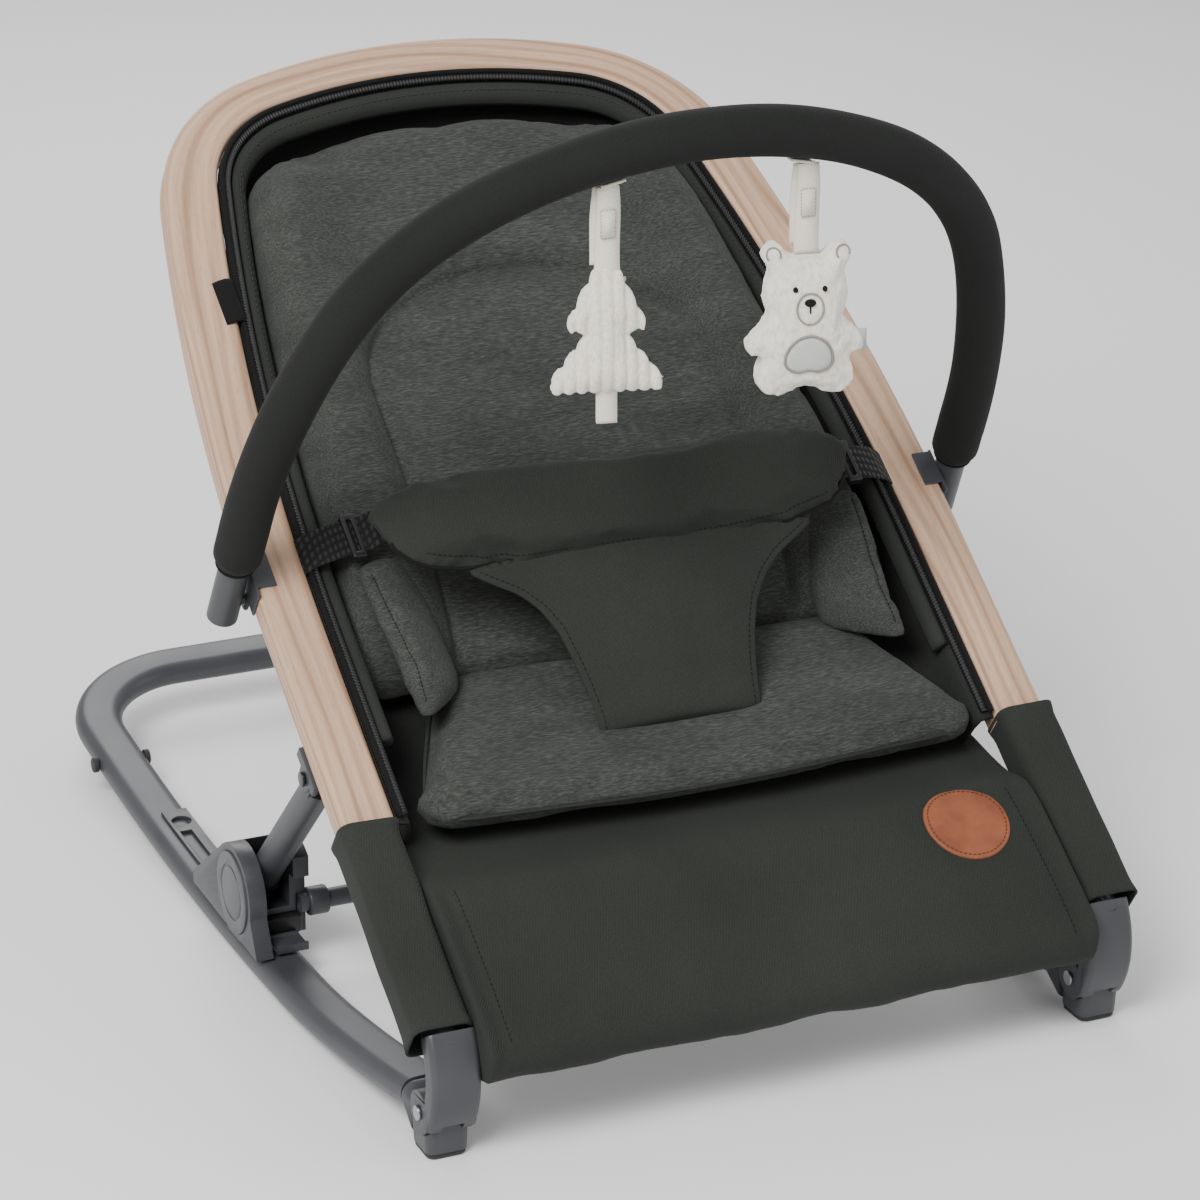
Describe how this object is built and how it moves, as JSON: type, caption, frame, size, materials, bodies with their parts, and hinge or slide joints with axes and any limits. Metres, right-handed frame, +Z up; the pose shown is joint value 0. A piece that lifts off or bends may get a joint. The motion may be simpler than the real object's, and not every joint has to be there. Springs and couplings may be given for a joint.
{
  "type": "bouncer seat",
  "caption": "Folding baby bouncer seat with a rocking tube base, wood trimmed frame, padded sling, lap belt and a toy bar with two hanging soft toys.",
  "frame": {"origin": "middle of the footprint on the floor", "axes": "+Y towards the head end, +Z up, +X across, to the right seen from the foot end"},
  "size_m": [0.5092, 0.7138, 0.559],
  "materials": {
    "frame_paint": "satin",
    "grey_plastic": "satin",
    "black_plastic": "satin",
    "dark_metal": "satin",
    "foot_rubber": "matte",
    "pin_steel": "satin",
    "wood": "satin",
    "dark_fabric": "matte",
    "bar_fabric": "matte",
    "melange_fabric": "matte",
    "webbing": "matte",
    "zip_tape": "matte",
    "leather": "satin",
    "cream_strap": "matte",
    "cream_cord": "matte",
    "cream_plush": "matte",
    "toy_grey": "matte"
  },
  "bodies": {
    "base": {"base_tube": "frame_paint", "front_foot_right": "grey_plastic", "front_foot_left": "grey_plastic", "foot_pads": "foot_rubber", "front_pins": "pin_steel", "tube_screws": "black_plastic", "track_plate_right": "grey_plastic", "track_plate_left": "grey_plastic"},
    "seat": {"wood_trim": "wood", "seat_tube": "frame_paint", "front_leg_right": "grey_plastic", "front_leg_left": "grey_plastic", "lower_cross_tube": "frame_paint", "strut_bracket_right": "grey_plastic", "strut_bracket_left": "grey_plastic", "upper_pins": "pin_steel", "bar_bracket_right": "dark_metal", "bar_bracket_left": "dark_metal", "sling": "dark_fabric", "front_panel": "dark_fabric", "sleeve_right": "dark_fabric", "sleeve_left": "dark_fabric", "back_cushion": "melange_fabric", "seat_cushion": "melange_fabric", "side_wing_right": "melange_fabric", "side_wing_left": "melange_fabric", "lap_belt": "dark_fabric", "crotch_strap": "dark_fabric", "belt_webbing": "webbing", "buckle_right": "black_plastic", "buckle_left": "black_plastic", "zipper": "zip_tape", "leather_patch": "leather", "side_label": "webbing"},
    "struts": {"strut_right": "frame_paint", "strut_left": "frame_paint", "strut_eye_right": "grey_plastic", "strut_eye_left": "grey_plastic"},
    "hubs": {"hub_housing_right": "grey_plastic", "hub_housing_left": "grey_plastic", "hub_cap_right": "grey_plastic", "hub_cap_left": "grey_plastic", "hub_pins": "pin_steel", "cross_rod": "frame_paint", "rod_collars": "grey_plastic"},
    "button_right": {"release_button_right": "black_plastic"},
    "button_left": {"release_button_left": "black_plastic"},
    "lever_right": {"lock_lever_right": "grey_plastic"},
    "lever_left": {"lock_lever_left": "grey_plastic"},
    "toy_bar": {"toy_bar_tube": "frame_paint", "toy_bar_cover": "bar_fabric"},
    "tree": {"tree_strap": "cream_strap", "tree_toy": "cream_cord"},
    "bear": {"bear_strap": "cream_strap", "bear_toy": "cream_plush", "bear_tag": "toy_grey"},
    "stand_right": {"kickstand_right": "foot_rubber"},
    "stand_left": {"kickstand_left": "foot_rubber"}
  },
  "joints": [
    {"name": "seat_fold", "type": "hinge", "parent": "base", "child": "seat", "pos_m": [0, -0.3226, 0.027], "axis": [1, 0, 0], "range_deg": [-27, 0]},
    {"name": "strut_swing", "type": "hinge", "parent": "seat", "child": "struts", "pos_m": [0, -0.15994, 0.16754], "axis": [1, 0, 0], "range_deg": [0, 61.5]},
    {"name": "hub_travel", "type": "hinge", "parent": "struts", "child": "hubs", "pos_m": [0, -0.0366, 0.047], "axis": [1, 0, 0], "range_deg": [-32.2, 0]},
    {"name": "release_button_right", "type": "slide", "parent": "hubs", "child": "button_right", "axis": [0, 1, 0], "range_m": [0, 0.004], "stiffness_N_per_m": 400},
    {"name": "release_button_left", "type": "slide", "parent": "hubs", "child": "button_left", "axis": [0, 1, 0], "range_m": [0, 0.004], "stiffness_N_per_m": 400},
    {"name": "lock_lever_right", "type": "hinge", "parent": "hubs", "child": "lever_right", "pos_m": [0.214, -0.0686, 0.0224], "axis": [1, 0, 0], "range_deg": [-40, 0], "stiffness_Nm_per_rad": 0.02},
    {"name": "lock_lever_left", "type": "hinge", "parent": "hubs", "child": "lever_left", "pos_m": [-0.214, -0.0686, 0.0224], "axis": [1, 0, 0], "range_deg": [-40, 0], "stiffness_Nm_per_rad": 0.02},
    {"name": "toy_bar_swing", "type": "hinge", "parent": "seat", "child": "toy_bar", "pos_m": [0, -0.0612, 0.2451], "axis": [1, 0, 0], "range_deg": [-12, 25]},
    {"name": "tree_swing", "type": "hinge", "parent": "toy_bar", "child": "tree", "pos_m": [-0.061, -0.21349, 0.53764], "axis": [0.9725, -0.1075, 0.2065], "range_deg": [-35, 35]},
    {"name": "bear_swing", "type": "hinge", "parent": "toy_bar", "child": "bear", "pos_m": [0.064, -0.21314, 0.53698], "axis": [0.9697, 0.1128, -0.2167], "range_deg": [-35, 35]},
    {"name": "kickstand_right", "type": "hinge", "parent": "base", "child": "stand_right", "pos_m": [0.221, 0.2304, 0.02251], "axis": [1, 0, 0], "range_deg": [0, 100]},
    {"name": "kickstand_left", "type": "hinge", "parent": "base", "child": "stand_left", "pos_m": [-0.221, 0.2304, 0.02251], "axis": [1, 0, 0], "range_deg": [0, 100]}
  ],
  "couplings": [
    {"joint": "strut_swing", "follows": "seat_fold", "ratio": -2.2703},
    {"joint": "hub_travel", "follows": "seat_fold", "ratio": 1.1849}
  ]
}
